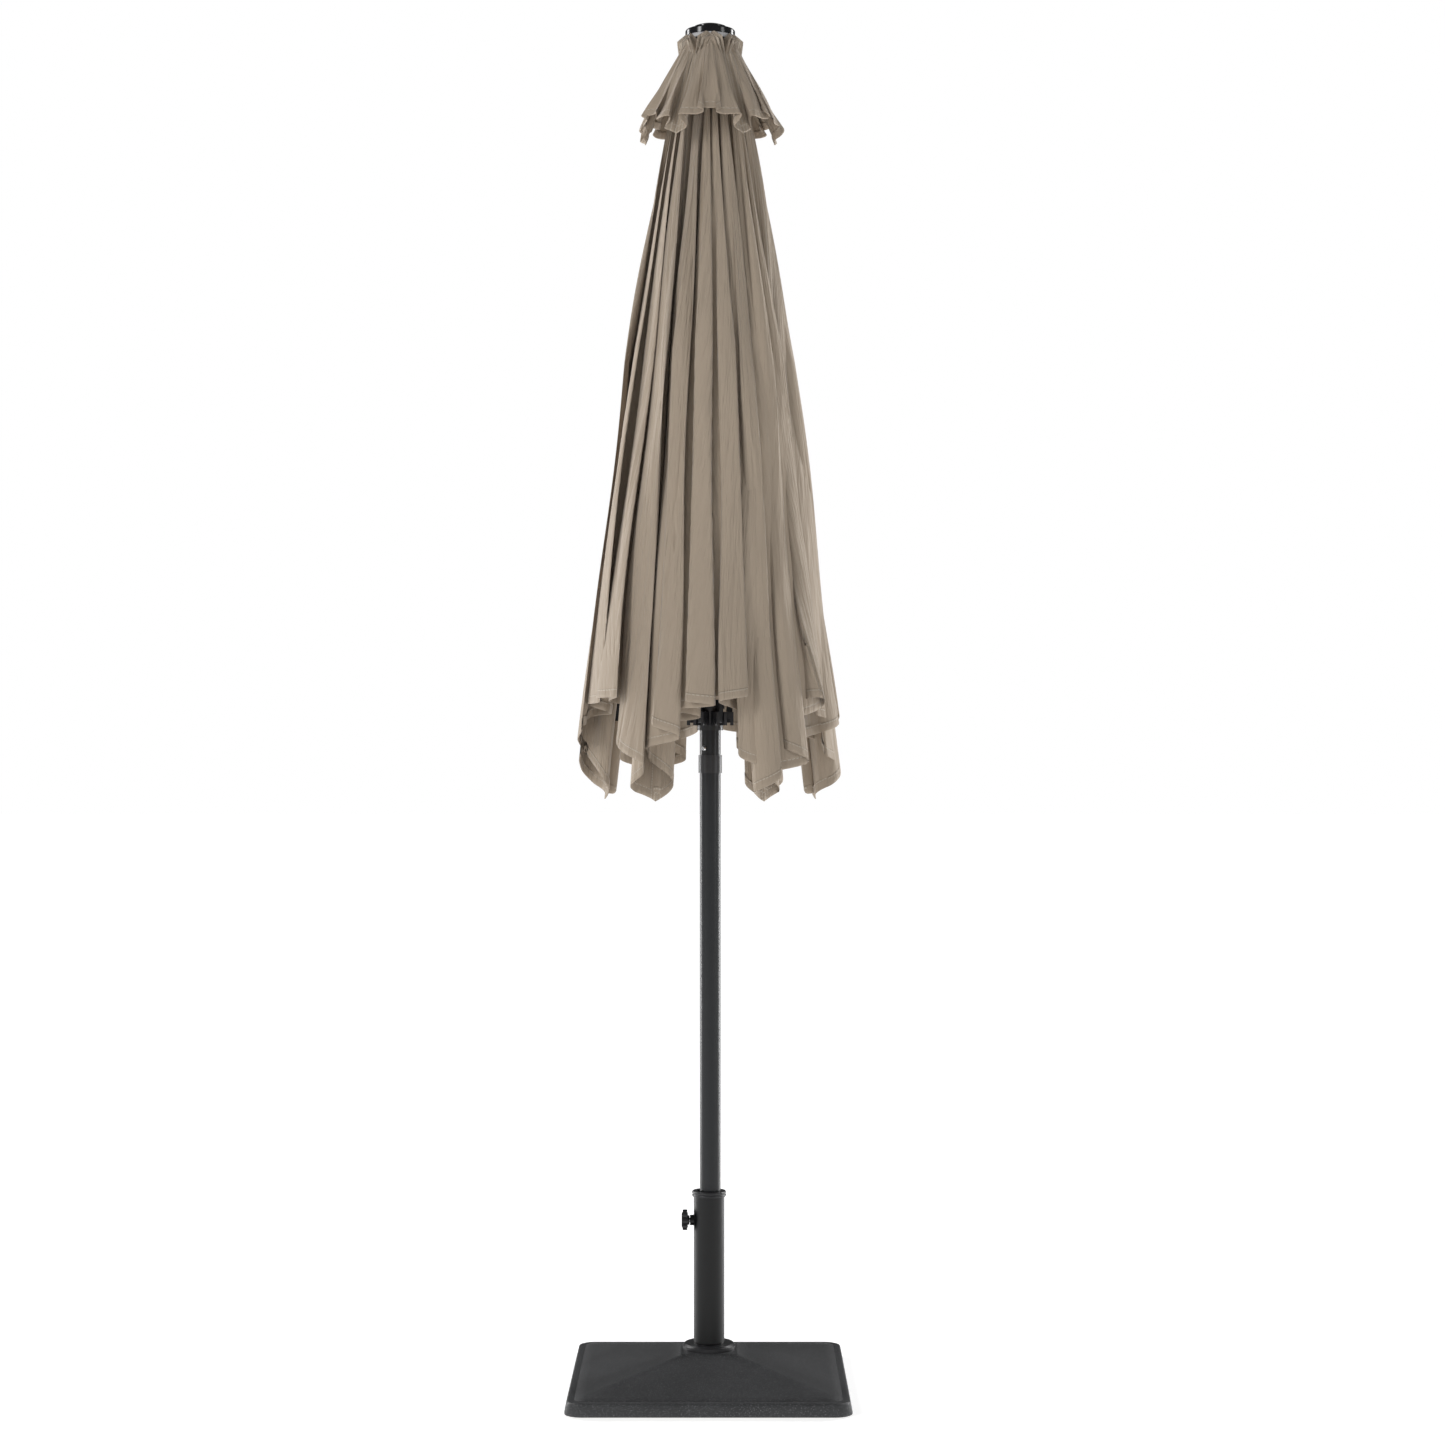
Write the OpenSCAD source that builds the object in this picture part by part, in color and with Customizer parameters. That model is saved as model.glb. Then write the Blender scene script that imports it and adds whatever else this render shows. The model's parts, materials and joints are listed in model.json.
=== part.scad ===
// Push-up market umbrella in a weighted stand, closed, standing on its base.
// Origin: centre of the base's underside. +Z is up, and -Y is the front.

/* [Base] */
// Side of the square base
base_w = 450; // [400:1:520]
// Height of the base's upright edge above the floor
edge_h = 23; // [18:1:32]
// Height of the small square top of the base
plateau_z = 61; // [52:1:80]
// Side of the small square top
plateau_w = 92; // [88:1:110]
// Thickness of the moulded plastic skin
skin_t = 3; // [2:0.5:4]

/* [Stand tube] */
// Outer diameter of the stand tube
tube_d = 50; // [46:1:54]
// Height of the collar's top above the floor
stand_top = 317; // [280:1:400]
// Height of the clamp knob above the floor
knob_z = 269; // [240:1:275]

/* [Pole] */
// Outer diameter of both pole halves
pole_d = 34; // [30:0.5:36]
// Height of the joint between the pole halves
joint_z = 1012; // [960:1:1020]
// Height of the snap button
button_z = 1037; // [1034:1:1040]

/* [Frame] */
// Height of the rib pins above the floor
hub_z = 2180; // [2120:1:2240]
// Distance from the hub pin to the tip of a rib
rib_length = 1221; // [1160:1:1230]
// Distance from the hub pin to the strut pin, and from there to the runner pin
strut_length = 550; // [540:1:556]
// Angle of the closed ribs from straight down
closed_angle = 6.2; // [5.6:0.1:7]

/* [Canopy] */
// Number of ribs and of fabric panels
rib_count = 6; // [6:6]
// Length of the vent flap, down the cloth
flap_length = 150; // [120:1:180]
// How far the folds of the closed canopy stand out from the ribs at the hem
fold_depth = 33; // [24:1:40]

/* [Hidden] */
$fn = 64;
eps = 0.01;

// Base
foot_h = 3;
foot_d = 34;
foot_inset = 42;
corner_r = 26;
wall_draft = 3;
ledge = 11;
skin_floor = foot_h - 1;
bolt_d = 10;
bolt_head_d = 17;
bolt_head_h = 6;
bolt_pocket_d = 30;
bolt_pocket_z = 16;
plate_d = 76;
plate_t = 4;
nut_h = 8;
flange_d = 86;
flange_h = 9;

// Stand tube
tube_t = 1.5;
tube_foot_z = plateau_z + plate_t;
tube_top_z = stand_top - 9;
collar_d = tube_d + 5.5;
collar_bore = pole_d + 4.5;
collar_spigot_h = 22;
boss_d = 17;
boss_l = 6;
screw_d = 8;
screw_gap = 0.05;
knob_d = 34;
knob_l = 12.5;
knob_lobes = 7;

// Pole: it leans on the far side of the collar, away from the knob
pole_t = 1.2;
pole_gap = 0.4;
pole_x = (collar_bore - pole_d) / 2 - pole_gap;
pole_foot_z = tube_foot_z + nut_h + 0.2;
plug_h = 18;
spigot_d = pole_d - 2 * pole_t - 0.1;
spigot_t = 1.4;
spigot_up = 95;
spigot_down = 90;
sleeve_d = pole_d + 4;
sleeve_down = 15;
sleeve_up = 14;
button_d = 8;
button_angle = 235;
button_proud = 3;

// Hub
pin_r = 30;
pin_d = 5;
pin_gap = 0.05;
hub_r = 36;
hub_drop = 12;
hub_rise = 8;
hub_core_r = 21.5;
slot_w = 8.8;
pole_top_z = hub_z + 14;
ring_z = hub_z + 10;
ring_h = 6;
finial_z = ring_z + ring_h;
finial_d1 = 81;
finial_d2 = 57;
finial_step = 11;

// Frame: ribs hang just outside the struts
rib_w = 8;
rib_depth = 14;
rib_wall = 1.2;
bracket_drop = 16;
strut_w = 7;
strut_depth = 10;
ear_t = 2;
bracket_lean = asin(bracket_drop / strut_length);
strut_angle = closed_angle - bracket_lean;
bracket_along = strut_length * cos(bracket_lean);
runner_z = hub_z - 2 * strut_length * cos(strut_angle);
runner_r = 21;
runner_low = 17;
runner_high = 46;
grip_r = 23.4;
open_angle = 70;
open_runner_z = hub_z - 2 * strut_length * cos(open_angle - bracket_lean);
lock_hole_d = 8.2;
lock_hole_z = open_runner_z - runner_low - lock_hole_d / 2;

// Canopy: cloth lies just outside the ribs, and its folds stand further out
cloth_gap = 0.9;
cloth_out = rib_depth / 2 + cloth_gap;
panel_top = 92;
panel_t = 7;
step_angle = 360 / rib_count;
first_angle = -90 - step_angle / 2;
panel_clear = rib_w / 2 + 1.6;
hem_tip_z = hub_z - rib_length * cos(closed_angle);
hem_rise = rib_length * (1 - cos(step_angle / 2 * 0.94));
flap_lean = 22.5;
flap_top = 8;
flap_t = 9;

function rib_angle(i) = first_angle + (i - 1) * step_angle;
function cloth_r(z) = pin_r + (hub_z - z) * tan(closed_angle) + cloth_out / cos(closed_angle);

// ---------- base ----------
module rounded_square(side, r) {
    square([side - 2 * r, side], center = true);
    square([side, side - 2 * r], center = true);
    for (sx = [-1, 1], sy = [-1, 1])
        translate([sx * (side / 2 - r), sy * (side / 2 - r)]) circle(r);
}

module plate(side, r, z) {
    translate([0, 0, z]) linear_extrude(eps) rounded_square(side, r, $fn = 32);
}

module base_form(inset, floor_z) {
    hull() {
        plate(base_w - 2 * inset, corner_r - inset, floor_z);
        plate(base_w - 2 * wall_draft - 2 * inset, corner_r - inset, edge_h - inset - eps);
    }
    hull() {
        plate(base_w - 2 * ledge - 2 * inset, corner_r - ledge / 2 - inset, edge_h - inset - 1);
        plate(plateau_w - inset, 6, plateau_z - inset - eps);
    }
}

module bolt_way(d) {
    cylinder(d = d, h = plateau_z + 1);
}

module base_shell() {
    color("#2b2b2c") difference() {
        base_form(0, skin_floor);
        base_form(skin_t, skin_floor - 1);
        bolt_way(plate_d / 2);
    }
}

module base_ballast() {
    color("#8b8a86") difference() {
        base_form(skin_t, skin_floor - 1);
        translate([-base_w / 2, -base_w / 2, skin_floor - 2]) cube([base_w, base_w, 2]);
        bolt_way(bolt_d + 1);
        cylinder(d = bolt_pocket_d, h = bolt_pocket_z);
    }
}

module base_feet() {
    place = base_w / 2 - foot_inset;
    color("#1c1c1c") for (sx = [-1, 1], sy = [-1, 1])
        translate([sx * place, sy * place, 0]) cylinder(d = foot_d, h = skin_floor);
}

module base_bolt() {
    color("#b4b6b8") {
        translate([0, 0, bolt_pocket_z - bolt_head_h]) cylinder(d = bolt_head_d, h = bolt_head_h, $fn = 6);
        translate([0, 0, bolt_pocket_z - eps]) cylinder(d = bolt_d, h = tube_foot_z + nut_h - bolt_pocket_z);
    }
}

module foot_plate() {
    color("#2f3032") translate([0, 0, plateau_z]) difference() {
        cylinder(d = plate_d, h = plate_t);
        translate([0, 0, -1]) cylinder(d = bolt_d + 0.5, h = plate_t + 2);
    }
}

module base_nut() {
    color("#b4b6b8") translate([0, 0, tube_foot_z]) difference() {
        cylinder(d = bolt_head_d, h = nut_h, $fn = 6);
        translate([0, 0, -1]) cylinder(d = bolt_d, h = nut_h + 2);
    }
}

// ---------- stand tube ----------
module across(z, d, from_x, to_x) {
    translate([from_x, 0, z]) rotate([0, 90, 0]) cylinder(d = d, h = to_x - from_x);
}

module stand_tube() {
    color("#2a2b2d") difference() {
        translate([0, 0, tube_foot_z]) cylinder(d = tube_d, h = tube_top_z - tube_foot_z);
        translate([0, 0, tube_foot_z - 1]) cylinder(d = tube_d - 2 * tube_t, h = tube_top_z);
        across(knob_z, screw_d + 1, -tube_d, 0);
    }
}

module flange_ring() {
    color("#242425") difference() {
        union() {
            translate([0, 0, plateau_z]) cylinder(d = flange_d, h = flange_h - 3);
            translate([0, 0, plateau_z + flange_h - 3 - eps])
                cylinder(d1 = flange_d, d2 = flange_d - 7, h = 3);
        }
        translate([0, 0, plateau_z - 1]) cylinder(d = plate_d + 0.4, h = plate_t + 1.2);
        cylinder(d = tube_d + 0.4, h = plateau_z + flange_h + 1);
    }
}

module weld_nut() {
    color("#2a2b2d") difference() {
        across(knob_z, boss_d, -tube_d / 2 - boss_l, -tube_d / 2 + tube_t / 2);
        across(knob_z, screw_d + 2 * screw_gap, -tube_d, 0);
        translate([0, 0, knob_z - boss_d]) cylinder(d = tube_d, h = 2 * boss_d, $fn = 128);
    }
}

module tube_collar() {
    bead = 4.5;
    color("#232324") difference() {
        union() {
            translate([0, 0, tube_top_z]) cylinder(d = collar_d - 2, h = stand_top - tube_top_z);
            for (z = [tube_top_z + bead / 2, stand_top - bead / 2])
                translate([0, 0, z]) rotate_extrude() translate([collar_d / 2 - bead / 2, 0]) circle(d = bead);
            translate([0, 0, tube_top_z - collar_spigot_h])
                cylinder(d = tube_d - 2 * tube_t - 0.1, h = collar_spigot_h + eps);
        }
        translate([0, 0, tube_top_z - collar_spigot_h - 1]) cylinder(d = collar_bore, h = stand_top);
    }
}

// ---------- clamp ----------
screw_tip_x = pole_x - pole_d / 2 - 0.3;
knob_x = -tube_d / 2 - boss_l - 1;

module clamp_screw() {
    color("#b9bbbd") across(knob_z, screw_d, knob_x - knob_l * 0.6, screw_tip_x);
}

module clamp_knob() {
    lobe_d = knob_d * 0.36;
    color("#141415") translate([knob_x, 0, knob_z]) rotate([0, -90, 0]) difference() {
        union() {
            cylinder(d = knob_d * 0.45, h = 3);
            translate([0, 0, 2.5]) cylinder(d = knob_d - lobe_d * 0.8, h = knob_l - 2.5);
            translate([0, 0, 3.5]) linear_extrude(knob_l - 5) for (k = [0:knob_lobes - 1])
                rotate((k + 0.3) * 360 / knob_lobes) translate([knob_d / 2 - lobe_d / 2, 0]) circle(d = lobe_d);
        }
        translate([0, 0, -1]) cylinder(d = screw_d, h = knob_l * 0.6 + 1);
    }
}

// ---------- pole ----------
module on_pole(z) {
    translate([pole_x, 0, z]) children();
}

module tube(d, t, z0, z1) {
    on_pole(z0) difference() {
        cylinder(d = d, h = z1 - z0);
        translate([0, 0, -1]) cylinder(d = d - 2 * t, h = z1 - z0 + 2);
    }
}

module button_way(d, reach) {
    on_pole(button_z) rotate([0, 90, button_angle]) cylinder(d = d, h = reach);
}

module pole_plug() {
    color("#1d1d1e") on_pole(pole_foot_z) {
        cylinder(d = pole_d, h = 4);
        cylinder(d = pole_d - 2 * pole_t - 0.1, h = plug_h);
    }
}

module pole_lower() {
    color("#47494c") tube(pole_d, pole_t, pole_foot_z + 4, joint_z);
}

module pole_spigot() {
    color("#6f7173") difference() {
        tube(spigot_d, spigot_t, joint_z - spigot_down, joint_z + spigot_up);
        button_way(button_d + 0.8, pole_d);
    }
}

module pole_sleeve() {
    color("#111112") tube(sleeve_d, (sleeve_d - pole_d) / 2 - 0.05, joint_z - sleeve_down, joint_z + sleeve_up);
}

module pole_upper() {
    color("#3a3c3f") difference() {
        tube(pole_d, pole_t, joint_z, pole_top_z);
        button_way(button_d + 1.2, pole_d);
        on_pole(lock_hole_z) rotate([90, 0, 0]) cylinder(d = lock_hole_d, h = pole_d * 2, center = true);
    }
}

module snap_button() {
    seat = pole_d / 2 - 8;
    color("#d5d8da") on_pole(button_z) rotate([0, 90, button_angle]) {
        translate([0, 0, seat]) cylinder(d = button_d, h = 8 + button_proud - 2);
        translate([0, 0, pole_d / 2 + button_proud - 2 - eps])
            cylinder(d1 = button_d, d2 = button_d * 0.6, h = 2);
    }
}

module button_spring() {
    inner = spigot_d / 2 - spigot_t;
    drop = 34;
    color("#9c9ea0") on_pole(button_z) rotate(button_angle + 180) {
        translate([inner - 2, -4, -drop]) cube([1, 8, 2 * drop]);
        for (z = [-drop, drop - 1]) translate([-inner + 2, -4, z]) cube([2 * inner - 3.5, 8, 1]);
    }
}

// ---------- hub and finial ----------
module top_hub() {
    color("#2b2c2e") on_pole(0) difference() {
        union() {
            translate([0, 0, hub_z - hub_drop]) cylinder(r = hub_r, h = hub_drop + hub_rise);
            translate([0, 0, hub_z - 38]) cylinder(r = hub_core_r, h = 38);
        }
        translate([0, 0, hub_z - 40]) cylinder(d = pole_d + 0.1, h = 60);
        for (i = [1:rib_count]) rotate(rib_angle(i)) {
            translate([hub_core_r, -slot_w / 2, hub_z - 20]) cube([hub_r, slot_w, 40]);
            translate([pin_r, 0, hub_z]) rotate([90, 0, 0]) cylinder(d = pin_d, h = 26, center = true);
        }
    }
}

module hub_pins() {
    color("#b9bbbd") on_pole(hub_z) for (i = [1:rib_count]) rotate(rib_angle(i))
        translate([pin_r, 0, 0]) rotate([90, 0, 0]) cylinder(d = pin_d, h = 22, center = true);
}

module fabric_ring() {
    color("#c9c5bd") on_pole(ring_z) difference() {
        cylinder(d = finial_d1 - 3, h = ring_h);
        translate([0, 0, -1]) cylinder(d = pole_d + 0.1, h = ring_h + 2);
    }
}

module finial_base() {
    color("#0c0c0d") on_pole(finial_z) rotate_extrude() union() {
        square([finial_d1 / 2 - 3, finial_step]);
        square([finial_d1 / 2, finial_step - 3]);
        translate([finial_d1 / 2 - 3, finial_step - 3]) circle(3);
    }
}

module finial_cap() {
    color("#0c0c0d") on_pole(finial_z + finial_step) rotate_extrude() intersection() {
        translate([0, -finial_d2]) circle(r = finial_d2 + finial_step - 0.3, $fn = 180);
        union() {
            square([finial_d2 / 2 - 4, finial_step]);
            square([finial_d2 / 2, finial_step - 5]);
            translate([finial_d2 / 2 - 4, finial_step - 5]) circle(4);
        }
    }
}

// ---------- runner ----------
module runner() {
    ear_r = 38;
    ear_w = ear_t + 3;
    color("#242526") on_pole(runner_z) difference() {
        union() {
            translate([0, 0, -runner_low]) cylinder(r = runner_r, h = runner_low + runner_high);
            for (i = [1:rib_count], side = [-1, 1]) rotate(rib_angle(i))
                translate([runner_r - 2, side * (slot_w + ear_w) / 2 - ear_w / 2, -9])
                    cube([ear_r - runner_r + 2, ear_w, 22]);
        }
        translate([0, 0, -runner_low - 1]) cylinder(d = pole_d + 0.6, h = runner_low + runner_high + 2);
        for (i = [1:rib_count]) rotate(rib_angle(i)) translate([pin_r, 0, 0]) {
            rotate([90, 0, 0]) cylinder(d = pin_d, h = 30, center = true);
            translate([-pin_d / 2, -15, -20]) cube([pin_d, 30, 20]);
        }
    }
}

module runner_grip() {
    color("#1b1b1c") on_pole(runner_z) difference() {
        translate([0, 0, 18]) cylinder(r = grip_r, h = 24);
        translate([0, 0, 17]) cylinder(r = runner_r + 0.02, h = 26);
        for (z = [24, 30, 36]) translate([0, 0, z]) rotate_extrude() translate([grip_r + 0.6, 0]) circle(r = 1.5);
    }
}

// ---------- ribs and struts ----------
// A bar that hangs from the origin along -Z, with its width along Y
module bar(length, width, depth) {
    translate([-depth / 2, -width / 2, -length]) cube([depth, width, length]);
    rotate([90, 0, 0]) cylinder(d = depth, h = width, center = true);
}

module hang(i, angle) {
    on_pole(hub_z) rotate(rib_angle(i)) translate([pin_r, 0, 0]) rotate([0, -angle, 0]) children();
}

module rib(i) {
    ear_w = ear_t;
    hollow_top = 26;
    color("#3d3f42") hang(i, closed_angle) difference() {
        union() {
            bar(rib_length - 6, rib_w, rib_depth);
            translate([0, 0, 6 - rib_length]) rotate([90, 0, 0]) cylinder(d = 12, h = rib_w, center = true);
            for (side = [-1, 1])
                translate([-bracket_drop, side * (rib_w / 2 + ear_w / 2 - eps), -bracket_along]) {
                    rotate([90, 0, 0]) cylinder(d = 12, h = ear_w, center = true);
                    translate([0, -ear_w / 2, -6]) cube([bracket_drop + 4, ear_w, 12]);
                }
            translate([-bracket_drop, 0, -bracket_along]) rotate([90, 0, 0])
                cylinder(d = pin_d, h = rib_w + 2 * ear_w, center = true);
        }
        rotate([90, 0, 0]) cylinder(d = pin_d + 2 * pin_gap, h = rib_w + 2, center = true);
        translate([-rib_depth / 2 + rib_wall, -rib_w / 2 + rib_wall, 24 - rib_length])
            cube([rib_depth - 2 * rib_wall, rib_w - 2 * rib_wall, rib_length - 24 - hollow_top]);
    }
}

module strut(i) {
    color("#3d3f42") hang(i, closed_angle) translate([-bracket_drop, 0, -bracket_along])
        rotate([0, closed_angle + strut_angle, 0]) difference() {
            union() {
                bar(strut_length, strut_w, strut_depth);
                translate([0, 0, -strut_length]) {
                    rotate([90, 0, 0]) cylinder(d = strut_depth, h = strut_w, center = true);
                    rotate([90, 0, 0]) cylinder(d = pin_d - 1, h = slot_w + 8, center = true);
                }
            }
            rotate([90, 0, 0]) cylinder(d = pin_d + 2 * pin_gap, h = rib_w + 2, center = true);
        }
}

// ---------- canopy ----------
// Fold depth grows from the vent down to the hem
function fold_at(z) = 6 + (fold_depth - 6) * min(1, (hub_z - panel_top - z) / (rib_length * 0.7));

module wedge_of_cloth(i, profile) {
    on_pole(0) difference() {
        rotate(rib_angle(i)) rotate_extrude(angle = step_angle - 0.3, $fn = 96) polygon(profile);
        rotate(rib_angle(i)) translate([0, -panel_clear, 0]) cube([400, 2 * panel_clear, hub_z * 2]);
    }
}

// The hem climbs from the rib tips at both sides to the middle of the panel
module hem_cut(i) {
    half = step_angle / 2;
    half_w = cloth_r(hem_tip_z) * sin(half);
    tilt = atan(hem_rise / half_w);
    reach = 600;
    on_pole(hem_tip_z) rotate(rib_angle(i) + half) intersection_for (side = [-1, 1])
        translate([0, side * half_w, 0]) rotate([-side * tilt, 0, 0])
            translate([-reach / 2, -reach, -reach]) cube([reach, 2 * reach, reach]);
}

module canopy_panel(i) {
    top_z = hub_z - panel_top;
    levels = [for (k = [0:6]) top_z - k * (top_z - hem_tip_z + 4) / 6];
    inner = [for (z = levels) [cloth_r(z) + max(0, fold_at(z) - panel_t), z]];
    outer = [for (k = [6:-1:0]) [cloth_r(levels[k]) + fold_at(levels[k]), levels[k]]];
    color("#b5a999") difference() {
        wedge_of_cloth(i, concat(inner, outer));
        hem_cut(i);
    }
}

module vent_flap(i) {
    drop = flap_length * cos(flap_lean);
    top_z = hub_z - flap_top;
    top_r = pin_r + rib_depth / 2 + 1.9;
    low_r = top_r + drop * tan(flap_lean);
    color("#b5a999") wedge_of_cloth(i, [
        [top_r, top_z], [low_r, top_z - drop], [low_r + flap_t, top_z - drop], [top_r + flap_t * 0.4, top_z]
    ]);
}

base_shell();
base_ballast();
base_feet();
base_bolt();
foot_plate();
base_nut();
stand_tube();
flange_ring();
weld_nut();
tube_collar();
clamp_screw();
clamp_knob();
pole_plug();
pole_lower();
pole_spigot();
pole_sleeve();
button_spring();
snap_button();
pole_upper();
top_hub();
hub_pins();
fabric_ring();
finial_base();
finial_cap();
runner();
runner_grip();
for (i = [1:6]) {
    rib(i);
    strut(i);
    canopy_panel(i);
    vent_flap(i);
}
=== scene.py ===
"""Patio umbrella with base: the visible model, made round the frame of its construction."""
import json
import math

import bmesh
import bpy
import numpy as np
from bpy.props import FloatProperty, FloatVectorProperty, IntProperty, PointerProperty
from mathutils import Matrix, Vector


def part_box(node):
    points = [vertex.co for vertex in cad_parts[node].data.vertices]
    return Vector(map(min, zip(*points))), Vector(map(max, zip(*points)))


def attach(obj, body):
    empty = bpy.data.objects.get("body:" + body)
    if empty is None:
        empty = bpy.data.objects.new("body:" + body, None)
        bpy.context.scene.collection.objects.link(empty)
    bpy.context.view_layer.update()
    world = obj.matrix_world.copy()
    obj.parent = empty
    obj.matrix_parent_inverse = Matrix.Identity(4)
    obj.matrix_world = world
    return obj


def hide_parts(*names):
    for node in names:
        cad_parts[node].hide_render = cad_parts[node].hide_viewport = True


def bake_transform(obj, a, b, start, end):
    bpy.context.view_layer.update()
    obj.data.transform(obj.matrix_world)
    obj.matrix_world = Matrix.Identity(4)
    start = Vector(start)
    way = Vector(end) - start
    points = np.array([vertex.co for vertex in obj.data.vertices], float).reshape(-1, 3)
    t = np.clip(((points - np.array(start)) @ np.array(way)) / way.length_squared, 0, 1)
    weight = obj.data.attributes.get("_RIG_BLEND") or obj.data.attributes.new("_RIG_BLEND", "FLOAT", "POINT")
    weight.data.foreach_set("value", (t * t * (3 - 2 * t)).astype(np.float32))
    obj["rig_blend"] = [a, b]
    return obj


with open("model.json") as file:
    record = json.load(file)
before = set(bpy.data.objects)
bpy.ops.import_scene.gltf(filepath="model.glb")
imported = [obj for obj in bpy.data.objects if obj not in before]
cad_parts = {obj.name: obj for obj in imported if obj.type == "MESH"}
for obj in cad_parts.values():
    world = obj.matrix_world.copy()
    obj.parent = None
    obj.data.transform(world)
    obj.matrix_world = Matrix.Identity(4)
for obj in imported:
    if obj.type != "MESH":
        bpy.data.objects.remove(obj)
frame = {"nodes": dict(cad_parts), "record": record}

bl_info = {
    "name": "Patio umbrella with base",
    "version": (1, 0, 0),
    "blender": (4, 5, 0),
    "location": "View3D > Sidebar > Umbrella",
    "description": "Makes a closed market umbrella with its cloth canopy, pole and weighted stand",
    "category": "Object",
}

RECORD = frame["record"]
JOINTS = {joint["name"]: joint for joint in RECORD["behaviour"]["joints"]}
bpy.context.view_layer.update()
RIBS = sum(name.startswith("rib_") for name in frame["nodes"])
SECTOR = math.tau / RIBS

# How the cloth lies on the ribs, in metres and degrees.
CLOTH_ABOVE_RIB = 0.0079
CANOPY_START = 0.085
HEM_PAST_TIP = 0.012
LEAST_FOLD = 0.006
FLAP_ABOVE_RIB = 0.0095
FLAP_LEAN = 22.5
FLAP_PAST_FOOT = 0.018


def middle(node):
    """Centre of a node's box."""
    low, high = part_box(node)
    return (low + high) / 2


AXIS = np.array([middle("pole_upper").x, middle("pole_upper").y, 0.0])


# ---------- settings ----------
class UmbrellaCloth(bpy.types.PropertyGroup):
    colour: FloatVectorProperty(
        name="Cloth colour", description="Colour of the canopy cloth", subtype="COLOR",
        default=(0.365, 0.298, 0.23), min=0, max=1)
    thread: FloatVectorProperty(
        name="Thread colour", description="Colour of the seams' thread", subtype="COLOR",
        default=(0.5, 0.44, 0.36), min=0, max=1)
    fold_depth: FloatProperty(
        name="Fold depth", description="How far a fold stands out from the ribs at the hem",
        default=0.042, min=0.01, max=0.06, unit="LENGTH")
    pleats: IntProperty(
        name="Pleats", description="Folds between two ribs of the closed canopy", default=4, min=1, max=5)
    flap_depth: FloatProperty(
        name="Flap fold depth", description="How far a fold of the vent flap stands out",
        default=0.008, min=0.005, max=0.03, unit="LENGTH")
    hem: FloatProperty(
        name="Hem width", description="Width of the turned hem", default=0.015, min=0.008, max=0.03,
        unit="LENGTH")


class UmbrellaFinish(bpy.types.PropertyGroup):
    pole: FloatVectorProperty(
        name="Pole colour", description="Colour of the painted pole and ribs", subtype="COLOR",
        default=(0.014, 0.0152, 0.017), min=0, max=1)
    stand: FloatVectorProperty(
        name="Stand colour", description="Colour of the coated stand tube", subtype="COLOR",
        default=(0.004, 0.0042, 0.0045), min=0, max=1)
    base: FloatVectorProperty(
        name="Base colour", description="Colour of the moulded base skin", subtype="COLOR",
        default=(0.035, 0.036, 0.038), min=0, max=1)
    speckle: FloatVectorProperty(
        name="Base speckle", description="Colour of the pale specks in the base skin", subtype="COLOR",
        default=(0.3, 0.305, 0.31), min=0, max=1)


class UmbrellaStage(bpy.types.PropertyGroup):
    floor: FloatVectorProperty(
        name="Floor colour", description="Colour of the floor", subtype="COLOR",
        default=(0.9, 0.9, 0.9), min=0, max=1)
    distance: FloatProperty(
        name="Camera distance", description="From the pole to the camera", default=4.551, min=3, max=12,
        unit="LENGTH")
    height: FloatProperty(
        name="Camera height", description="Camera above the floor", default=1.07, min=0.3, max=3,
        unit="LENGTH")


# ---------- shader maths ----------
class Value:
    """One number or colour in a shader, with arithmetic that adds the nodes it needs."""

    def __init__(self, shader, socket):
        self.shader = shader
        self.socket = socket

    def _math(self, operation, *others):
        return self.shader.node("ShaderNodeMath", {"operation": operation}, *others)

    def __add__(self, other):
        return self._math("ADD", self, other)

    def __sub__(self, other):
        return self._math("SUBTRACT", self, other)

    def __mul__(self, other):
        return self._math("MULTIPLY", self, other)

    def __truediv__(self, other):
        return self._math("DIVIDE", self, other)

    def __rsub__(self, other):
        return self._math("SUBTRACT", other, self)

    def __lt__(self, other):
        return self._math("LESS_THAN", self, other)

    def __mod__(self, other):
        return self._math("FLOORED_MODULO", self, other)

    def __abs__(self):
        return self._math("ABSOLUTE", self)

    def fade(self, low, high):
        """0 below low, 1 above high and smooth between."""
        settings = {"interpolation_type": "SMOOTHSTEP"}
        return self.shader.node("ShaderNodeMapRange", settings, self, low, high, 0.0, 1.0)



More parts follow.
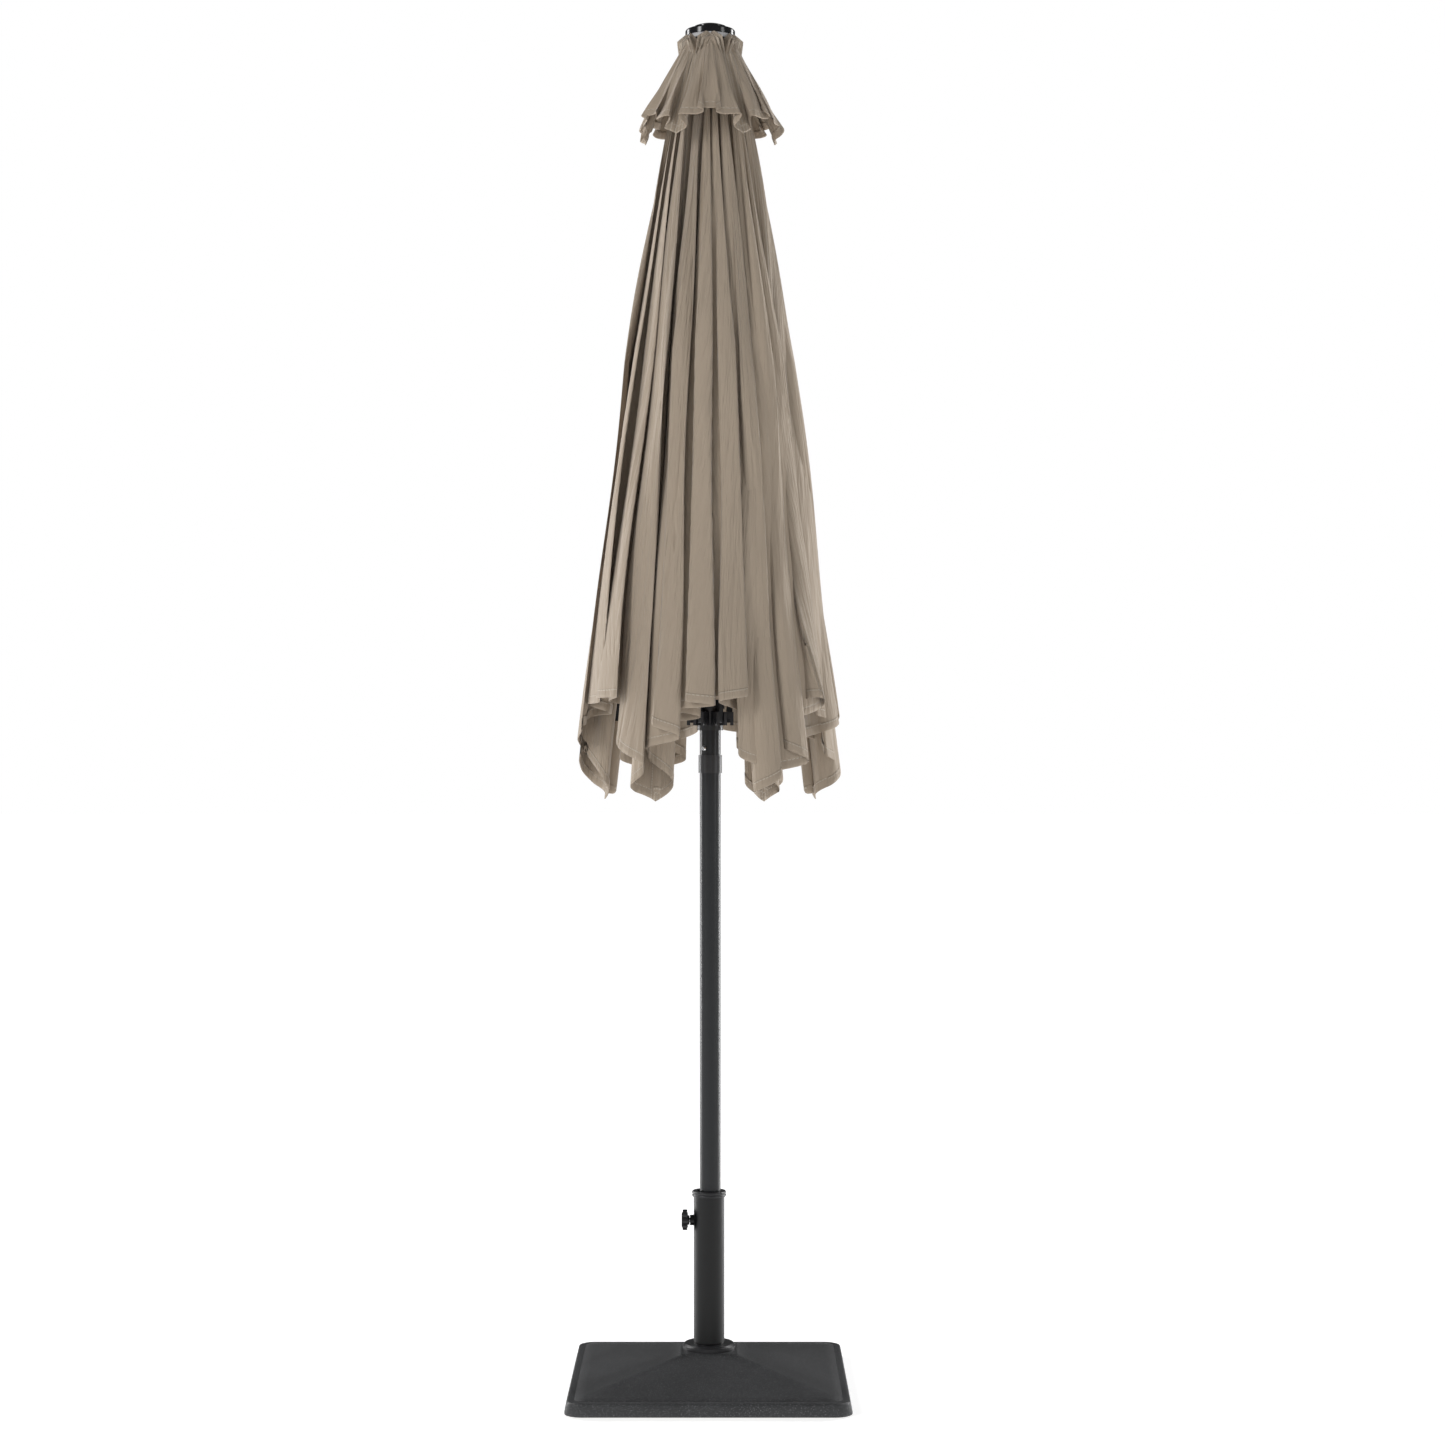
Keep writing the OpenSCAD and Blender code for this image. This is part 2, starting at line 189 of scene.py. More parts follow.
class Shader:
    """A material under construction. Its method node() adds any node."""

    def __init__(self, name):
        self.material = bpy.data.materials.new(name)
        self.material.use_nodes = True
        self.tree = self.material.node_tree
        self.surface = self.tree.nodes["Principled BSDF"]

    def node(self, kind, settings=None, *values, out=0, **named):
        """Adds a node with its settings and inputs, and gives one of its outputs."""
        made = self.tree.nodes.new(kind)
        for key, value in (settings or {}).items():
            setattr(made, key, value)
        pairs = list(enumerate(values)) + list(named.items())
        for key, value in pairs:
            self.plug(made.inputs[key], value)
        return Value(self, made.outputs[out])

    def plug(self, socket, value):
        """Links a value to a socket, or sets the socket to a number or colour."""
        if isinstance(value, Value):
            self.tree.links.new(value.socket, socket)
        elif isinstance(value, (tuple, list)) and len(socket.default_value) == 4 and len(value) == 3:
            socket.default_value = (*value, 1.0)
        elif value is not None:
            socket.default_value = value

    def mix(self, factor, first, second):
        """A colour between two others."""
        made = self.tree.nodes.new("ShaderNodeMix")
        made.data_type = "RGBA"
        self.plug(made.inputs[0], factor)
        self.plug(made.inputs[6], first)
        self.plug(made.inputs[7], second)
        return Value(self, made.outputs[2])

    def place(self):
        """Where a point lies on its own piece, in metres."""
        return self.node("ShaderNodeTexCoord", out="Object")

    def noise(self, where, scale, detail=4.0, roughness=0.5, stretch=None):
        """Noise, drawn out along an axis if a stretch is given."""
        if stretch:
            where = self.node("ShaderNodeVectorMath", {"operation": "MULTIPLY"}, where, stretch)
        return self.node(
            "ShaderNodeTexNoise", None, Vector=where, Scale=scale, Detail=detail, Roughness=roughness)

    def bump(self, height, distance, strength=1.0, over=None):
        return self.node(
            "ShaderNodeBump", None, Height=height, Distance=distance, Strength=strength, Normal=over)

    def set(self, **sockets):
        """Sets the finished surface, with an underscore for each space in a socket's name."""
        for key, value in sockets.items():
            self.plug(self.surface.inputs[key.replace("_", " ")], value)
        return self.material


# ---------- materials ----------
def cloth_material(name, settings, colour):
    """Woven polyester, with double seams along the ribs and a stitched hem.

    The map named cloth holds each point's distance to the nearest seam and to the hem, in metres."""
    shader = Shader(name)
    colour = tuple(colour)
    where = shader.node("ShaderNodeUVMap", {"uv_map": "cloth"})
    to_seam = shader.node("ShaderNodeSeparateXYZ", None, where)
    to_hem = Value(shader, to_seam.socket.node.outputs[1])
    weave_at = shader.node("ShaderNodeUVMap", {"uv_map": "weave"})
    threads = {"Vector": weave_at, "Scale": 260.0, "Distortion": 0.4}
    warp = shader.node("ShaderNodeTexWave", {"bands_direction": "X"}, **threads)
    weft = shader.node("ShaderNodeTexWave", {"bands_direction": "Y"}, **threads)
    weave = warp * 0.5 + weft * 0.5
    slub = shader.noise(weave_at, 90.0, 3.0, 0.6, stretch=(1.0, 0.12, 1.0))
    crumple = shader.noise(shader.place(), 9.0, 5.0, 0.55, stretch=(1.0, 1.0, 0.3))
    creases = shader.noise(weave_at, 34.0, 4.0, 0.6, stretch=(1.0, 0.1, 1.0))
    fade = shader.noise(shader.place(), 2.3, 2.0, 0.5)

    def stitch(distance, along):
        line = 1 - (abs(distance) / 0.0011).fade(0.55, 1.0)
        return line * ((along % 0.0042) < 0.0029)

    seam = stitch(to_seam - 0.003, to_hem)
    seam = shader.node("ShaderNodeMath", {"operation": "MAXIMUM"}, seam, stitch(to_seam - 0.0095, to_hem))
    hem_line = stitch(to_hem - settings.hem * 0.85, to_seam)
    thread = shader.node("ShaderNodeMath", {"operation": "MAXIMUM"}, seam, hem_line)
    tape = 1 - to_hem.fade(settings.hem - 0.0006, settings.hem + 0.0006)
    welt = 1 - to_seam.fade(0.0105, 0.0125)
    doubled = shader.node("ShaderNodeMath", {"operation": "MAXIMUM"}, tape, welt)
    cloth = shader.mix(slub.fade(0.3, 0.75) * 0.22, colour, tuple(c * 0.8 for c in colour))
    cloth = shader.mix(fade.fade(0.35, 0.7) * 0.25, cloth, tuple(min(1, c * 1.12) for c in colour))
    cloth = shader.mix(doubled * 0.3, cloth, tuple(c * 0.86 for c in colour))
    cloth = shader.mix(thread * 0.9, cloth, tuple(settings.thread))
    fine = shader.bump(weave, 0.00012, 0.6)
    soft = shader.bump(crumple * 0.4 + creases, 0.014, 0.8, fine)
    raised = shader.bump(doubled + thread * 0.5, 0.0008, 0.9, soft)
    rough = slub * 0.12 + 0.8
    return shader.set(
        Base_Color=cloth, Roughness=rough, Normal=raised, Sheen_Weight=0.22, Sheen_Roughness=0.45,
        Specular_IOR_Level=0.25)


def painted_metal(name, colour, rough=0.34, flake=0.25):
    """Paint or powder coat, with fine orange peel and scuffs that lighten it a little."""
    shader = Shader(name)
    where = shader.place()
    peel = shader.noise(where, 900.0, 2.0, 0.5)
    scuff = shader.noise(where, 38.0, 6.0, 0.7, stretch=(1.0, 1.0, 0.2))
    worn = scuff.fade(0.6, 0.75)
    coat = shader.mix(worn * flake, colour, tuple(min(1, c * 2.0 + 0.01) for c in colour))
    return shader.set(
        Base_Color=coat, Roughness=worn * 0.12 + rough, Normal=shader.bump(peel, 0.00008, 0.5),
        Specular_IOR_Level=0.35)


def moulded_plastic(name, colour, rough, grain=0.00006):
    """Moulded plastic with a fine grain and slight flow marks."""
    shader = Shader(name)
    where = shader.place()
    fine = shader.noise(where, 1400.0, 2.0, 0.5)
    flow = shader.noise(where, 26.0, 4.0, 0.6)
    skin = shader.mix(flow.fade(0.4, 0.7) * 0.35, colour, tuple(min(1, c * 1.7 + 0.004) for c in colour))
    return shader.set(
        Base_Color=skin, Roughness=flow * 0.12 + rough, Normal=shader.bump(fine, grain, 0.6))


def speckled_skin(name, colour, speck):
    """The base's skin: dark plastic with pale specks and a leathery grain."""
    shader = Shader(name)
    where = shader.place()
    dots = shader.node("ShaderNodeTexVoronoi", None, Vector=where, Scale=520.0)
    dots_coarse = shader.node("ShaderNodeTexVoronoi", None, Vector=where, Scale=230.0)
    mask = (1 - dots.fade(0.16, 0.3)) * 0.55 + (1 - dots_coarse.fade(0.1, 0.2)) * 0.5
    patch = shader.noise(where, 14.0, 4.0, 0.6)
    skin = shader.mix(patch.fade(0.35, 0.7) * 0.4, colour, tuple(c * 1.6 for c in colour))
    skin = shader.mix(mask * 0.8, skin, tuple(speck))
    grain = shader.bump(shader.noise(where, 420.0, 4.0, 0.6), 0.0005, 0.7)
    return shader.set(Base_Color=skin, Roughness=patch * 0.15 + 0.42, Normal=grain, Specular_IOR_Level=0.45)


def bright_steel(name, colour, rough):
    """Zinc-plated or plain steel, brushed round its axis, with dull patches."""
    shader = Shader(name)
    where = shader.place()
    brush = shader.noise(where, 220.0, 3.0, 0.6, stretch=(1.0, 1.0, 8.0))
    dull = shader.noise(where, 45.0, 4.0, 0.6)
    metal = shader.mix(dull.fade(0.45, 0.7) * 0.5, colour, tuple(c * 0.6 for c in colour))
    return shader.set(
        Base_Color=metal, Metallic=1.0, Roughness=dull * 0.2 + rough, Normal=shader.bump(brush, 0.00005, 0.5))


def cast_concrete(name):
    """Grey cast concrete with sand and small air holes."""
    shader = Shader(name)
    where = shader.place()
    sand = shader.noise(where, 300.0, 5.0, 0.7)
    holes = shader.node("ShaderNodeTexVoronoi", None, Vector=where, Scale=90.0).fade(0.05, 0.12)
    grey = shader.mix(sand.fade(0.3, 0.7), (0.36, 0.35, 0.33), (0.5, 0.49, 0.46))
    return shader.set(Base_Color=grey, Roughness=0.9, Normal=shader.bump(sand * 0.3 + holes, 0.001, 0.8))


def floor_material(colour):
    shader = Shader("stage_floor")
    tone = shader.noise(shader.place(), 1.5, 3.0, 0.5)
    pale = shader.mix(tone * 0.08, tuple(colour), tuple(c * 0.96 for c in colour))
    across = shader.node("ShaderNodeVectorMath", {"operation": "LENGTH"}, shader.place(), out=1)
    glow = shader.mix(across.fade(1.0, 4.5), (0.6, 0.6, 0.6), (1.0, 1.0, 1.0))
    return shader.set(Base_Color=pale, Roughness=0.75, Emission_Color=glow, Emission_Strength=1.0)


# ---------- how the frame opens ----------
def spin(points, centre, axis, angle):
    """Points turned about an axis, each by its own angle."""
    angle = np.asarray(angle)[..., None]
    arm = points - centre
    along = (arm @ axis)[..., None] * axis
    return centre + arm * np.cos(angle) + np.cross(axis, arm) * np.sin(angle) + along * (1 - np.cos(angle))


class Hinge:
    """A joint of the frame, and how far it turns when the canopy opens."""

    def __init__(self, name):
        joint = JOINTS[name]
        self.centre = np.array(joint["pos_m"])
        self.axis = np.array(joint["axis"]) / np.linalg.norm(joint["axis"])
        self.full = math.radians(max(joint["range_deg"], key=abs))

    def turned(self, points, share):
        return spin(points, self.centre, self.axis, np.asarray(share) * self.full)


def rib_direction(number):
    """Azimuth of a rib, from its pin."""
    pin = Hinge(f"rib_{number}_swing").centre - AXIS
    return math.atan2(pin[1], pin[0])


def seam_point(number, down, stand_off, lean):
    """A point of the closed seam outside a rib, down the rib from its pin."""
    pin = Hinge(f"rib_{number}_swing").centre
    azimuth = rib_direction(number)
    outward = np.array([math.cos(azimuth), math.sin(azimuth), 0.0])
    up = np.array([0.0, 0.0, 1.0])
    down = np.asarray(down)[..., None]
    run = outward * math.sin(lean) - up * math.cos(lean)
    off = outward * math.cos(lean) + up * math.sin(lean)
    return pin + off * stand_off + run * down


class Gore:
    """One panel of cloth between a rib and the next, flat when open and pleated when closed."""

    def __init__(self, number, lean, stand_off, start, end, across, rows):
        self.number = number
        self.next = number % RIBS + 1
        self.rib = Hinge(f"rib_{number}_swing")
        self.next_rib = Hinge(f"rib_{self.next}_swing")
        self.spread = Hinge(f"panel_{number}_spread")
        self.share, self.down = np.meshgrid(np.linspace(0, 1, across), self.rows(start, end, rows))
        first = self.rib.turned(seam_point(number, self.down, stand_off, lean), 1.0)
        last = self.next_rib.turned(seam_point(self.next, self.down, stand_off, lean), 1.0)
        share = self.share[..., None]
        self.open = first * (1 - share) + last * share
        self.reach = (self.down - start) / (end - start)

    @staticmethod
    def rows(start, end, count):
        """Distances down the cloth, closer together near the hem."""
        step = np.linspace(0, 1, count)
        return start + (end - start) * (1 - (1 - step) ** 1.25)

    def folded(self, weight):
        """Where the open cloth lies when closed, if it follows the spread by this weight."""
        back = self.spread.turned(self.rib.turned(self.open, -1.0), -weight)
        return back

    def turn_of(self, points):
        """Angle round the pole from this panel's first rib."""
        flat = points[..., :2] - AXIS[:2]
        azimuth = np.arctan2(flat[..., 1], flat[..., 0]) - rib_direction(self.number)
        return (azimuth + math.pi) % math.tau - math.pi

    def close(self, target):
        """Finds the weight at which each point of the open cloth closes to its target angle."""
        low = np.full(self.share.shape, -0.12)
        high = np.full(self.share.shape, 1.12)
        for _ in range(34):
            guess = (low + high) / 2
            beyond = self.turn_of(self.folded(guess)) > target
            low = np.where(beyond, guess, low)
            high = np.where(beyond, high, guess)
        self.weight = np.clip((low + high) / 2, 0, 1)
        self.weight[:, 0] = 0.0
        self.weight[:, -1] = 1.0
        self.closed = self.folded(self.weight)

    def off_seam(self, steepness):
        """0 on the two seams and 1 away from them."""
        return np.clip(np.minimum(self.share, 1 - self.share) * steepness, 0, 1)

    def gather(self, keep):
        """Draws the closed cloth in towards the ring through its two seams, as a tied canopy hangs."""
        flat = self.closed - AXIS
        flat[..., 2] = 0.0
        radius = np.linalg.norm(flat, axis=-1, keepdims=True)
        ring = radius[:, :1] * (1 - self.share[..., None]) + radius[:, -1:] * self.share[..., None]
        self.closed = self.closed - flat / radius * (radius - ring) * (1 - keep)

    def stand_out(self, depth):
        """Moves the closed cloth away from the pole, or towards it."""
        flat = self.closed - AXIS
        flat[..., 2] = 0.0
        self.closed = self.closed + flat / np.linalg.norm(flat, axis=-1, keepdims=True) * depth[..., None]


def pleat(share, pleats, overlap, lean=0.0):
    """Round the sector and out from it: two numbers for each point of a row of overlapping folds."""
    place = share * pleats
    inside = place - np.floor(np.minimum(place, pleats - 1e-9))
    wave = np.sin(math.tau * 2 * inside) * overlap
    peak = 0.76 + lean
    rise = np.clip(inside / peak, 0, 1)
    fall = np.clip((1 - inside) / (1 - peak), 0, 1)
    out = np.sin(np.minimum(rise, fall) * math.pi / 2)
    return (place + wave) / pleats, out


def uneven_depth(number, share, pleats):
    """Each fold stands out a little more or less than its neighbours."""
    return 0.84 + 0.16 * np.sin(np.floor(share * pleats) * 2.1 + number * 1.3)


def ripple(number, share, down, size, seed):
    """Slow waves along the folds, different on each panel."""
    phase = number * 1.7 + seed
    wave = np.sin(share * 21 + phase) * np.sin(down * 6.3 + share * 9 + phase * 2.1)
    wave += 0.6 * np.sin(share * 37 + down * 11 + phase * 3.3)
    return wave * size


def grid_mesh(name, points, share, down, hem, width, turned_hem):
    """A cloth mesh from a grid of points, with its hem turned in, and the maps that its material reads."""
    across = share.shape[1]
    inward = points[-1] - AXIS
    inward[:, 2] = 0.0
    inward = inward / np.linalg.norm(inward, axis=-1, keepdims=True)
    along = points[-1] - points[-2]
    along = along / np.linalg.norm(along, axis=-1, keepdims=True)
    edge = points[-1] + along * 0.0008 - inward * 0.0009
    fold = points[-1] - inward * 0.0018
    back = fold - along * turned_hem
    points = np.concatenate([points, edge[None], fold[None], back[None]])
    share = np.concatenate([share, share[-1:], share[-1:], share[-1:]])
    drop = np.concatenate([hem - down, np.zeros((2, across)), np.full((1, across), turned_hem)])
    mesh = bpy.data.meshes.new(name)
    index = np.arange(points.shape[0] * across).reshape(points.shape[0], across)
    quads = np.stack([index[:-1, :-1], index[:-1, 1:], index[1:, 1:], index[1:, :-1]], axis=-1).reshape(-1, 4)
    mesh.from_pydata(points.reshape(-1, 3).tolist(), [], quads.tolist())
    to_seam = np.minimum(share, 1 - share) * width(hem - drop)
    maps = {"cloth": (to_seam, drop), "weave": (share * width(hem), hem - drop)}
    corner = quads.reshape(-1)
    for label, (left, right) in maps.items():
        layer = mesh.uv_layers.new(name=label)
        pairs = np.stack([left.reshape(-1)[corner], right.reshape(-1)[corner]], axis=-1)
        layer.data.foreach_set("uv", pairs.astype(np.float32).reshape(-1))
    mesh.polygons.foreach_set("use_smooth", np.ones(len(mesh.polygons), dtype=bool))
    return mesh


def sew(gore, name, hem, width, turned_hem, material, replaced):
    mesh = grid_mesh(name, gore.closed, gore.share, gore.down, hem, width, turned_hem)
    piece = bpy.data.objects.new(name, mesh)
    bpy.context.collection.objects.link(piece)
    mesh.materials.append(material)
    near, far = f"rib_{gore.number}", f"panel_{gore.number}"
    first, last = Vector(gore.closed[-1, 0]), Vector(gore.closed[-1, -1])
    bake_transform(piece, near, far, first, last)
    weight = np.concatenate([gore.weight, np.repeat(gore.weight[-1:], 3, axis=0)])
    mesh.attributes["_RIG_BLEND"].data.foreach_set("value", weight.astype(np.float32).reshape(-1))
    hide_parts(replaced)
    return piece


def cloth_width(lean):
    """Width of a flat panel, at a distance down its seam."""
    half = math.asin(math.sin(lean) * math.sin(SECTOR / 2))
    return lambda down: 2 * np.asarray(down) * math.sin(half) + 0.03


# ---------- pieces ----------
class MakeCanopy(bpy.types.Operator):
    """Makes the cloth panels of the canopy"""
    bl_idname = "umbrella.canopy"
    bl_label = "Canopy panels"

    def execute(self, context):
        cloth = context.scene.umbrella_cloth
        material = cloth_material("taupe_cloth", cloth, cloth.colour)
        rib = JOINTS["rib_1_swing"]
        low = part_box("rib_1")[0]
        pin = np.array(rib["pos_m"])
        length = pin[2] - low.z
        centre = middle("rib_1")
        lean = math.atan2(math.hypot(centre.x - pin[0], centre.y - pin[1]), pin[2] - centre.z)
        length = length / math.cos(lean)
        open_lean = lean + math.radians(rib["range_deg"][1])
        start, end = CANOPY_START, length + HEM_PAST_TIP
        width = cloth_width(open_lean)
        for number in range(1, RIBS + 1):
            gore = Gore(number, lean, CLOTH_ABOVE_RIB, start, end, 181, 64)
            grown = np.clip((gore.down - start) / 0.5, 0, 1) ** 0.6
            between = np.sin(math.pi * gore.share)
            drift = np.sin(math.tau * gore.share + number * 2.4 + gore.down * 1.6)
            uneven = gore.share + 0.12 * drift * between
            around, out = pleat(uneven, cloth.pleats, 0.52, 0.06 * math.sin(number * 1.9))
            around = gore.share + (around - gore.share) * grown
            around += ripple(number, gore.share, gore.down, 0.02, 0.4) * between * grown
            gore.close(np.clip(around, 0.0, 1.02) * SECTOR)
            gore.gather(0.12)
            depth = LEAST_FOLD + (cloth.fold_depth - LEAST_FOLD) * grown * (0.75 + 0.25 * gore.reach)
            seam = gore.off_seam(24)
            wave = ripple(number, gore.share, gore.down, 0.004, 1.3) * grown * seam
            crest = (1.45 * out - 0.45) * uneven_depth(number, gore.share, cloth.pleats)
            gore.stand_out(depth * crest * seam + wave + 0.0012)
            flat = (float(width(end)), float(end - start))
            area = float(width(end) + width(start)) / 2 * (end - start) * 0.97
            pocket = rib_pocket(number, lean, length, material)
            sew(gore, f"canopy_cloth_{number}", end, width, cloth.hem, material,
                f"canopy_panel_{number}")
        return {"FINISHED"}


def rib_pocket(number, lean, length, material):
    """The stitched pocket that holds a rib's tip."""
    azimuth = rib_direction(number)
    tangent = np.array([-math.sin(azimuth), math.cos(azimuth), 0.0])
    rings = []
    depths = [
        (-0.116, 0.0118, 0.0088), (-0.112, 0.0126, 0.0094), (-0.04, 0.012, 0.0092),
        (-0.015, 0.0118, 0.0091), (-0.003, 0.0112, 0.0088), (0.001, 0.0094, 0.0072), (0.0028, 0.005, 0.004),
    ]
    for down, half_w, half_d in depths:
        centre = seam_point(number, length + down, 0.0, lean)
        above = seam_point(number, length + down, 1.0, lean) - centre
        ring = []
        for step in range(24):
            angle = math.tau * step / 24
            across = math.copysign(abs(math.cos(angle)) ** 0.6, math.cos(angle)) * half_w * 0.72
            out = math.copysign(abs(math.sin(angle)) ** 0.6, math.sin(angle)) * half_d
            ring.append(tuple(centre + tangent * across + above * out))
        rings.append(ring)
    piece = lofted(f"rib_pocket_{number}", rings, closed_top=True)
    piece.data.materials.append(material)
    foot = seam_point(number, length, 0.0, lean)
    for label, offset in (("cloth", 0.05), ("weave", 0.0)):
        layer = piece.data.uv_layers.new(name=label)
        for loop in piece.data.loops:
            point = np.array(piece.data.vertices[loop.vertex_index].co) - foot
            layer.data[loop.index].uv = (offset + float(point @ tangent), float(np.linalg.norm(point)))
    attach(piece, f"rib_{number}")
    return piece


class MakeVentFlap(bpy.types.Operator):
    """Makes the vent flap over the canopy's top"""
    bl_idname = "umbrella.vent_flap"
    bl_label = "Vent flap"

    def execute(self, context):
        cloth = context.scene.umbrella_cloth
        material = cloth_material("flap_cloth", cloth, cloth.colour)
        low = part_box("vent_flap_1")[0]
        pin = JOINTS["rib_1_swing"]["pos_m"]
        lean = math.radians(FLAP_LEAN)
        start = 0.0
        end = (pin[2] - low.z) / math.cos(lean) + FLAP_PAST_FOOT
        open_lean = lean + math.radians(JOINTS["rib_1_swing"]["range_deg"][1])
        width = cloth_width(open_lean)
        for number in range(1, RIBS + 1):
            gore = Gore(number, lean, FLAP_ABOVE_RIB, start, end, 61, 30)
            grown = gore.reach ** 1.2
            around, out = pleat(gore.share, 2, 0.2, 0.1 * math.sin(number * 2.3))
            around = gore.share + (around - gore.share) * grown
            gore.close(np.clip(around, -0.1, 1.1) * SECTOR)
            gore.gather(1 - 0.9 * np.sqrt(gore.reach)[..., None])
            seam = gore.off_seam(10)
            wave = ripple(number, gore.share, gore.down * 4, 0.0042, 2.2) * grown * seam
            gore.stand_out(cloth.flap_depth * out * seam * grown + wave)
            flat = (float(np.linalg.norm(gore.open[-1, -1] - gore.open[-1, 0])), float(end - start))
            neck = float(np.linalg.norm(gore.open[0, -1] - gore.open[0, 0]))
            sew(gore, f"vent_cloth_{number}", end, width, cloth.hem * 0.7, material,
                f"vent_flap_{number}")
        return {"FINISHED"}


def rounded_ring(side, radius, height, steps=9):
    """Points round a square with round corners."""
    half = side / 2 - radius
    ring = []
    for quarter, (sx, sy) in enumerate([(1, 1), (-1, 1), (-1, -1), (1, -1)]):
        for step in range(steps):
            angle = math.pi / 2 * (quarter + step / (steps - 1))
            ring.append((sx * half + radius * math.cos(angle), sy * half + radius * math.sin(angle), height))
    return ring


def lofted(name, rings, closed_top=False):
    """A mesh skinned over rings of equally many points."""
    mesh = bpy.data.meshes.new(name)
    built = bmesh.new()
    loops = [[built.verts.new(point) for point in ring] for ring in rings]
    for lower, upper in zip(loops, loops[1:]):
        for step in range(len(lower)):
            after = (step + 1) % len(lower)
            built.faces.new((lower[step], lower[after], upper[after], upper[step]))
    if closed_top:
        built.faces.new(loops[-1])
    for face in built.faces:
        face.smooth = True
    built.normal_update()
    built.to_mesh(mesh)
    built.free()
    piece = bpy.data.objects.new(name, mesh)
    bpy.context.collection.objects.link(piece)
    return piece


class MakeBaseSkin(bpy.types.Operator):
    """Makes the moulded skin of the base"""
    bl_idname = "umbrella.base_skin"
    bl_label = "Base skin"

    def execute(self, context):
        finish = context.scene.umbrella_finish
        low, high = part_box("base_shell")
        side, floor, top = high.x - low.x, low.z, high.z
        edge_h, rim, roll, draft = 0.0225, 0.0125, 0.004, 0.005
        plateau = 0.092
        shapes = [
            (side - 0.008, 0.024, floor + 0.004), (side - 0.004, 0.026, floor),
            (side - 0.0006, 0.026, floor + 0.0006), (side, 0.026, floor + 0.003),
            (side - draft, 0.026, edge_h - roll), (side - draft - 0.0012, 0.026, edge_h - roll * 0.4),
            (side - draft - roll, 0.025, edge_h), (side - draft - roll * 2.2, 0.024, edge_h + 0.0006),
            (side - draft - rim * 2 + 0.002, 0.019, edge_h + 0.0008),
            (side - draft - rim * 2, 0.018, edge_h + 0.0004),
            (side - draft - rim * 2 - 0.0016, 0.017, edge_h + 0.0012),
        ]
        first_side, first_z = shapes[-1][0], shapes[-1][2]
        slope_steps = 10
        for step in range(1, slope_steps):
            part = step / slope_steps
            width = first_side + (plateau + 0.004 - first_side) * part
            height = first_z + (top - 0.0022 - first_z) * part
            shapes.append((width, 0.016 - 0.011 * part, height))
        shapes += [
            (plateau + 0.004, 0.006, top - 0.0018), (plateau + 0.001, 0.0055, top - 0.0004),
            (plateau - 0.003, 0.005, top), (plateau - 0.008, 0.004, top), (plateau - 0.03, 0.003, top),
        ]
        skin = lofted("base_skin", [rounded_ring(*shape) for shape in shapes])
        skin.data.materials.append(speckled_skin("black_plastic_skin", tuple(finish.base), finish.speckle))
        self.wrinkle_corners(skin.data, side, edge_h)
        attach(skin, "stand")
        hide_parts("base_shell")
        return {"FINISHED"}

    @staticmethod
    def wrinkle_corners(mesh, side, edge_h):
        """The skin puckers slightly where it was drawn over the four corners."""
        for vertex in mesh.vertices:
            point = vertex.co
            corner = min(abs(point.x), abs(point.y)) / (side / 2)
            if corner > 0.8 and point.z < edge_h * 1.2:
                angle = math.atan2(abs(point.y), abs(point.x))
                pucker = math.sin(angle * 46 + point.x * 30) * 0.0006 * (corner - 0.8) / 0.15
                vertex.co -= Vector((point.x, point.y, 0)).normalized() * abs(pucker)


class MakeHardware(bpy.types.Operator):
    """Finishes the pole, stand, frame and small parts"""
    bl_idname = "umbrella.hardware"
    bl_label = "Hardware finishes"

    def execute(self, context):
        finish = context.scene.umbrella_finish
        pole, stand = tuple(finish.pole), tuple(finish.stand)
        made = {
            "grey_painted_steel": painted_metal("grey_painted_steel", pole, 0.3, 0.12),
            "grey_painted_steel_frame": painted_metal("grey_painted_steel_frame", pole, 0.4, 0.3),
            "black_powder_steel": painted_metal("black_powder_steel", stand, 0.36, 0.2),
            "black_plastic": moulded_plastic("black_plastic", (0.016, 0.016, 0.018), 0.3),
            "gloss_black_plastic": moulded_plastic(
                "gloss_black_plastic", (0.008, 0.008, 0.009), 0.1, 0.00002),
            "black_rubber": moulded_plastic("black_rubber", (0.02, 0.02, 0.02), 0.75, 0.0002),
            "concrete": cast_concrete("concrete"),
            "zinc_steel": bright_steel("zinc_steel", (0.66, 0.67, 0.69), 0.28),
            "bare_steel": bright_steel("bare_steel", (0.5, 0.5, 0.5), 0.35),
            "spring_steel": bright_steel("spring_steel", (0.42, 0.43, 0.46), 0.3),
            "chrome_steel": bright_steel("chrome_steel", (0.9, 0.9, 0.91), 0.06),
            "light_cloth": cloth_material("light_cloth", context.scene.umbrella_cloth, (0.56, 0.56, 0.57)),
        }
        slots = {part["node"]: part["material_slot"] for part in RECORD["subparts"]}
        for name, node in frame["nodes"].items():
            if slots[name] in made and not node.hide_render:
                self.finish(node, made[slots[name]], slots[name])
        return {"FINISHED"}

    @staticmethod
    def finish(node, material, slot):
        """Gives a node its material, and small round edges that catch the light."""
        node.data.materials.clear()
        node.data.materials.append(material)
        edge = node.modifiers.new("round_edges", "BEVEL")
        edge.width = 0.0006
        edge.segments = 2
        edge.limit_method = "ANGLE"
        edge.angle_limit = math.radians(40)
        edge.harden_normals = False


